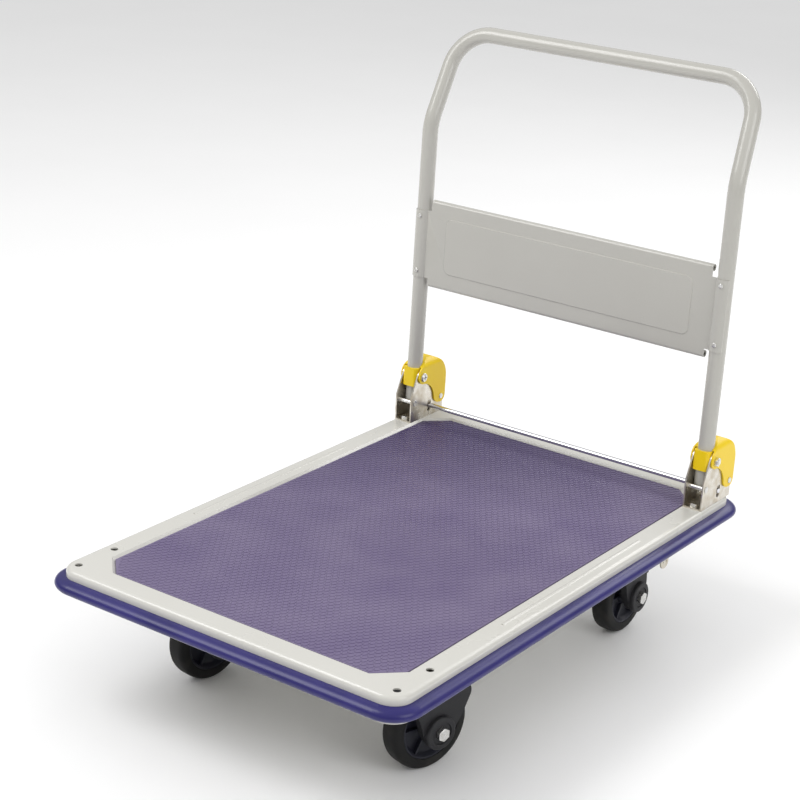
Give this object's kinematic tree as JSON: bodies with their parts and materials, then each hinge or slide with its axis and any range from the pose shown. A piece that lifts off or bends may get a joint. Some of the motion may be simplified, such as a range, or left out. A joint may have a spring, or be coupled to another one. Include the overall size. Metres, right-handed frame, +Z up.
{
  "type": "folding platform cart",
  "caption": "Folding platform cart with a recessed steel deck, corner bumper, swivel and rigid casters and a fold-down tubular handle.",
  "frame": {"origin": "on the floor under the middle of the deck, the bottom centre of the bounding box", "axes": "+X to the right across the deck, +Y along the deck towards the handle, +Z up"},
  "size_m": [0.61, 0.91, 0.8542],
  "materials": {
    "cream_paint": "gloss powder coat",
    "handle_paint": "gloss powder coat with fine orange peel",
    "mat_vinyl": "ribbed vinyl",
    "bumper_plastic": "gloss",
    "cover_plastic": "satin gloss",
    "bracket_zinc": "zinc plated",
    "rod_chrome": "polished",
    "fork_nylon": "matt moulded",
    "tyre_rubber": "matt",
    "wheel_nylon": "moulded",
    "fastener_zinc": "bright zinc"
  },
  "bodies": {
    "deck": {"anti_slip_mat": "mat_vinyl", "bracket_bolts": "fastener_zinc", "bracket_nuts": "fastener_zinc", "bracket_washers": "fastener_zinc", "bumper": "bumper_plastic", "caster_bolts": "fastener_zinc", "caster_nuts": "fastener_zinc", "deck_plate": "cream_paint", "front_channel": "cream_paint", "handle_bracket_left": "bracket_zinc", "handle_bracket_right": "bracket_zinc", "kingpin_nuts": "fastener_zinc", "kingpins": "fastener_zinc", "lock_springs": "fastener_zinc", "rear_channel": "cream_paint", "rigid_axle_bolts": "fastener_zinc", "rigid_axle_nuts": "fastener_zinc", "rigid_fork_left": "fork_nylon", "rigid_fork_right": "fork_nylon", "rigid_plate_left": "bracket_zinc", "rigid_plate_right": "bracket_zinc", "side_lug": "bracket_zinc", "spacer_sleeves": "bracket_zinc", "stop_pins": "fastener_zinc", "swivel_balls": "fastener_zinc", "swivel_plate_left": "bracket_zinc", "swivel_plate_right": "bracket_zinc"},
    "handle": {"handle_tube": "handle_paint", "back_panel": "handle_paint", "panel_screws": "fastener_zinc", "hinge_cover_left": "cover_plastic", "hinge_cover_right": "cover_plastic", "cover_pins": "fastener_zinc", "hinge_bolts": "fastener_zinc", "hinge_nuts": "fastener_zinc"},
    "lock": {"lock_rod": "rod_chrome", "rod_clip": "fastener_zinc", "lock_dogs": "bracket_zinc"},
    "swivel_left": {"swivel_fork_left": "fork_nylon", "swivel_axle_bolt_left": "fastener_zinc", "swivel_axle_nut_left": "fastener_zinc"},
    "swivel_right": {"swivel_fork_right": "fork_nylon", "swivel_axle_bolt_right": "fastener_zinc", "swivel_axle_nut_right": "fastener_zinc"},
    "wheel_front_left": {"wheel_core_front_left": "wheel_nylon", "tyre_front_left": "tyre_rubber", "wheel_bushes_front_left": "fastener_zinc"},
    "wheel_front_right": {"wheel_core_front_right": "wheel_nylon", "tyre_front_right": "tyre_rubber", "wheel_bushes_front_right": "fastener_zinc"},
    "wheel_rear_left": {"wheel_core_rear_left": "wheel_nylon", "tyre_rear_left": "tyre_rubber", "wheel_bushes_rear_left": "fastener_zinc"},
    "wheel_rear_right": {"wheel_core_rear_right": "wheel_nylon", "tyre_rear_right": "tyre_rubber", "wheel_bushes_rear_right": "fastener_zinc"}
  },
  "joints": [
    {"name": "handle_fold", "type": "hinge", "parent": "deck", "child": "handle", "pos_m": [0, 0.365, 0.28], "axis": [1, 0, 0], "range_deg": [0, 90]},
    {"name": "lock_press", "type": "slide", "parent": "deck", "child": "lock", "axis": [0, 0, -1], "range_m": [0, 0.006], "stiffness_N_per_m": 2000, "springref_m": -0.006, "deforming": ["lock_springs"]},
    {"name": "swivel_turn_left", "type": "hinge", "parent": "deck", "child": "swivel_left", "pos_m": [-0.189, -0.28, 0.15], "axis": [0, 0, 1], "continuous": true},
    {"name": "wheel_spin_front_left", "type": "hinge", "parent": "swivel_left", "child": "wheel_front_left", "pos_m": [-0.18399, -0.24435, 0.0625], "axis": [0.9903, -0.1392, 0], "continuous": true},
    {"name": "wheel_spin_rear_left", "type": "hinge", "parent": "deck", "child": "wheel_rear_left", "pos_m": [-0.189, 0.286, 0.0625], "axis": [1, 0, 0], "continuous": true},
    {"name": "swivel_turn_right", "type": "hinge", "parent": "deck", "child": "swivel_right", "pos_m": [0.189, -0.28, 0.15], "axis": [0, 0, 1], "continuous": true},
    {"name": "wheel_spin_front_right", "type": "hinge", "parent": "swivel_right", "child": "wheel_front_right", "pos_m": [0.19832, -0.24523, 0.0625], "axis": [0.9659, -0.2588, 0], "continuous": true},
    {"name": "wheel_spin_rear_right", "type": "hinge", "parent": "deck", "child": "wheel_rear_right", "pos_m": [0.189, 0.286, 0.0625], "axis": [1, 0, 0], "continuous": true}
  ]
}
